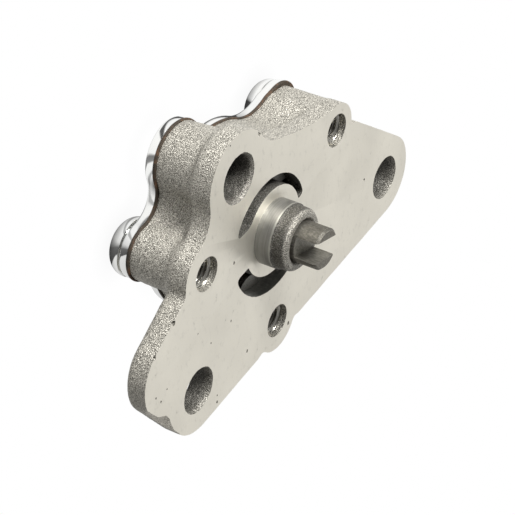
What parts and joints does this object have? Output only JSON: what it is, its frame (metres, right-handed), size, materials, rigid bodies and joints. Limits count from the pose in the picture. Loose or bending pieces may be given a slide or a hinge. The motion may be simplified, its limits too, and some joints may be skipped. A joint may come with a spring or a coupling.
{
  "type": "engine oil pump",
  "caption": "Trochoid engine oil pump: meshing rotors in a flanged cast body with a turned locating spigot, kidney ports and a slotted drive shaft.",
  "frame": {"origin": "the drive shaft's axis on the mounting face, at the foot of the locating spigot", "axes": "+Z out of the mounting face along the shaft, +X along the row of ear bolts, +Y towards the top bolt"},
  "size_m": [0.0675, 0.0416, 0.0226],
  "materials": {
    "cast_aluminium": "die-cast, sand-blasted walls with a milled mounting face",
    "shaft_steel": "fine-turned, oiled",
    "rotor_steel": "sintered, face-ground",
    "gasket_paper": "compressed fibre paper, oil-soaked",
    "zinc_plate": "bright zinc plate"
  },
  "bodies": {
    "root": {"pump_body": "cast_aluminium", "cover_gasket": "gasket_paper", "cover_plate": "zinc_plate", "cover_screws": "zinc_plate"},
    "shaft": {"drive_shaft": "shaft_steel", "drive_pin": "shaft_steel", "inner_rotor": "rotor_steel"},
    "outer_rotor": {"outer_rotor": "rotor_steel"}
  },
  "joints": [
    {"name": "shaft_spin", "type": "hinge", "parent": "root", "child": "shaft", "pos_m": [0, 0, 0], "axis": [0, 0, 1], "continuous": true},
    {"name": "outer_rotor_spin", "type": "hinge", "parent": "root", "child": "outer_rotor", "pos_m": [-0.0009, 0, 0], "axis": [0, 0, 1], "continuous": true}
  ],
  "couplings": [
    {"joint": "outer_rotor_spin", "follows": "shaft_spin", "ratio": 0.8}
  ]
}
